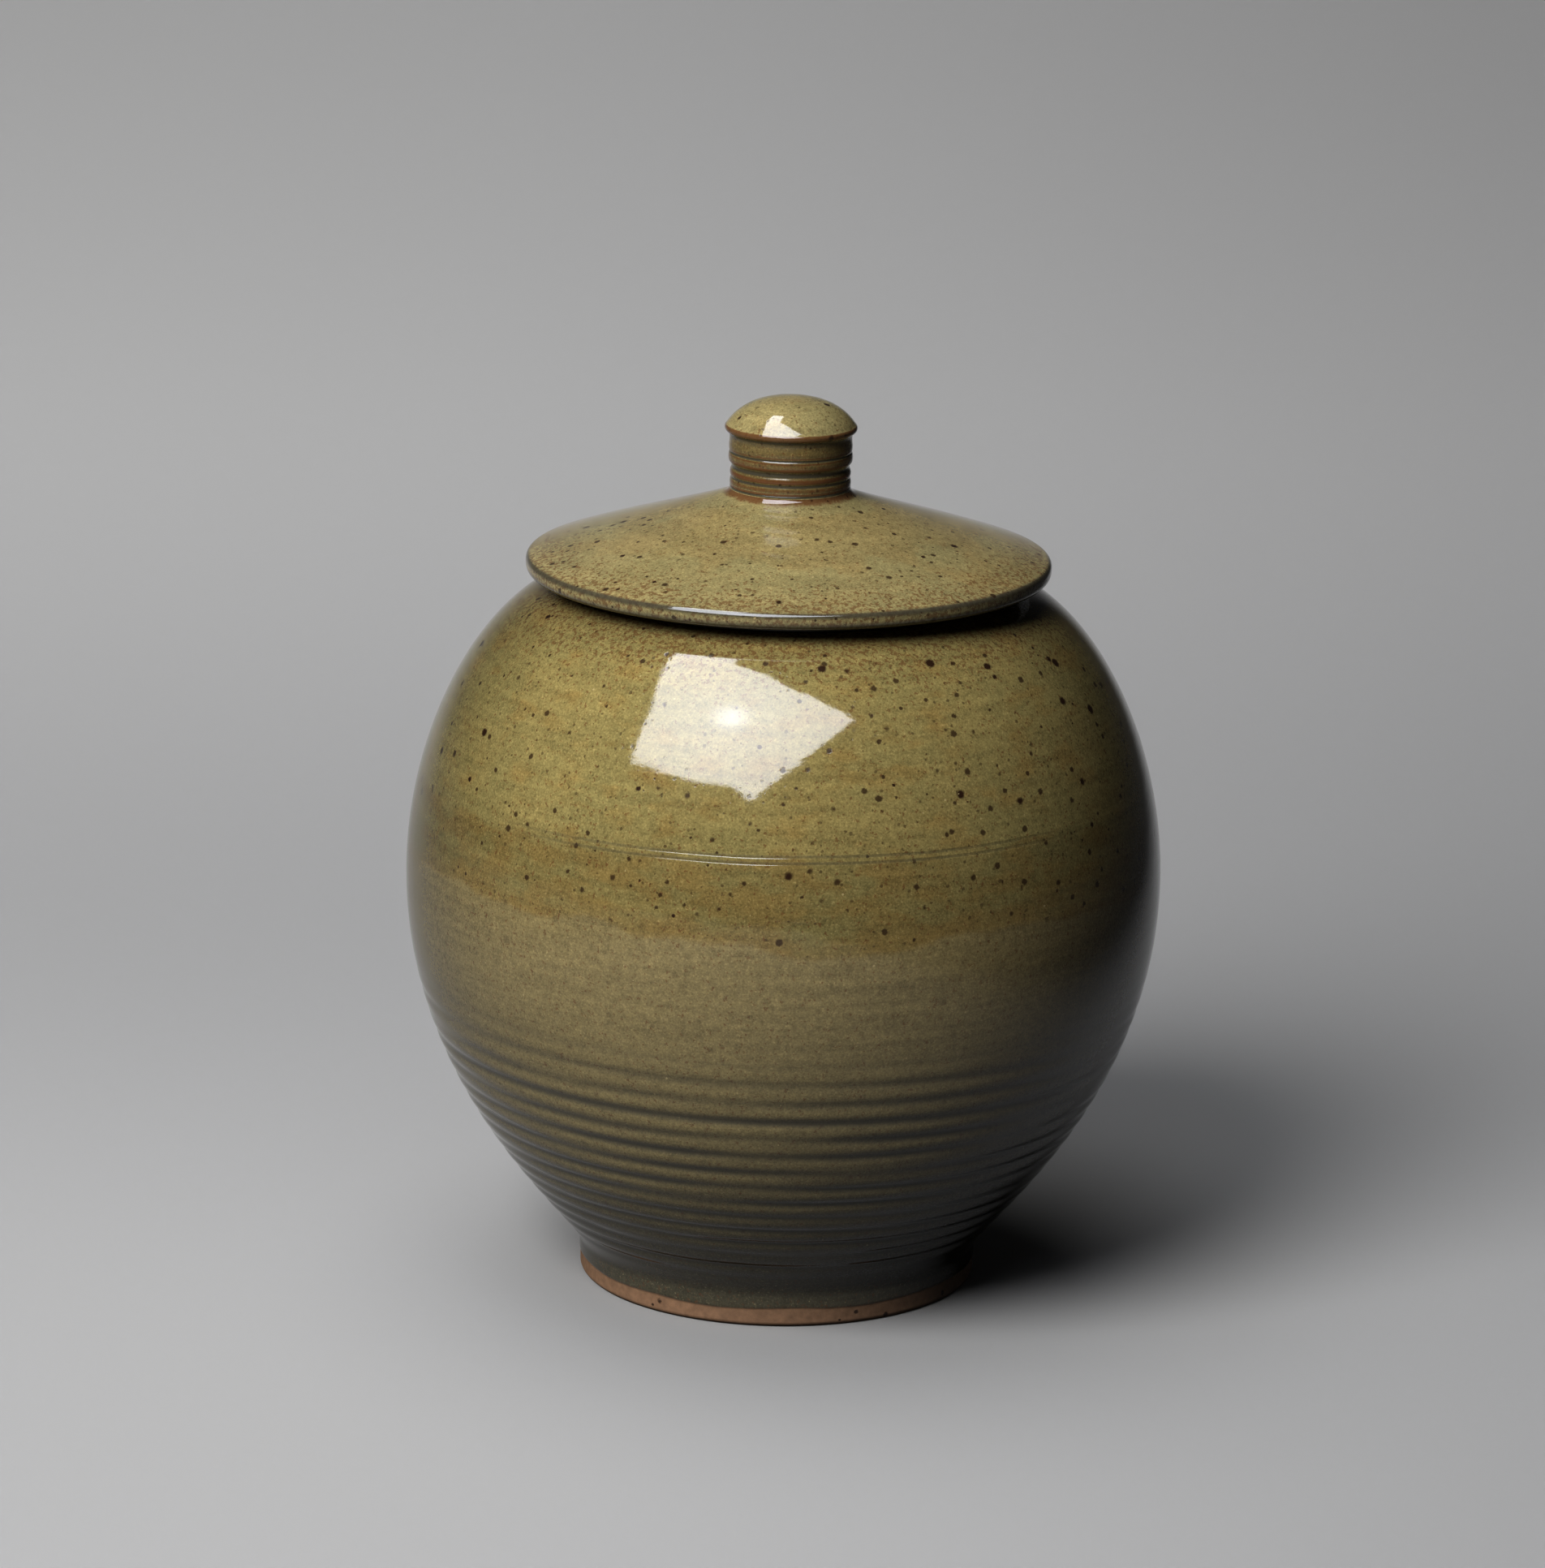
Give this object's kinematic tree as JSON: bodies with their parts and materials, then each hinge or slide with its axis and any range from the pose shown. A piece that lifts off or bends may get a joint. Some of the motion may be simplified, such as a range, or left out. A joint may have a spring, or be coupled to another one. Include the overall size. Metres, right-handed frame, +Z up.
{
  "type": "lidded jar",
  "caption": "Round wheel-thrown stoneware jar on a foot ring, with a shallow cone lid that lifts off by a ridged turned knob.",
  "frame": {"origin": "centre of the foot ring's resting face", "axes": "+Z up along the axis the jar was turned on, through the knob; any direction square to it serves as +X"},
  "size_m": [0.16, 0.16, 0.19],
  "materials": {
    "jar_glaze": "gloss",
    "lid_glaze": "gloss",
    "knob_glaze": "gloss"
  },
  "bodies": {
    "jar": {"jar": "jar_glaze"},
    "lid": {"lid": "lid_glaze", "knob": "knob_glaze"}
  },
  "joints": [
    {"name": "lid_lift", "type": "slide", "parent": "jar", "child": "lid", "axis": [0, 0, 1], "range_m": [0, 0.12]}
  ]
}
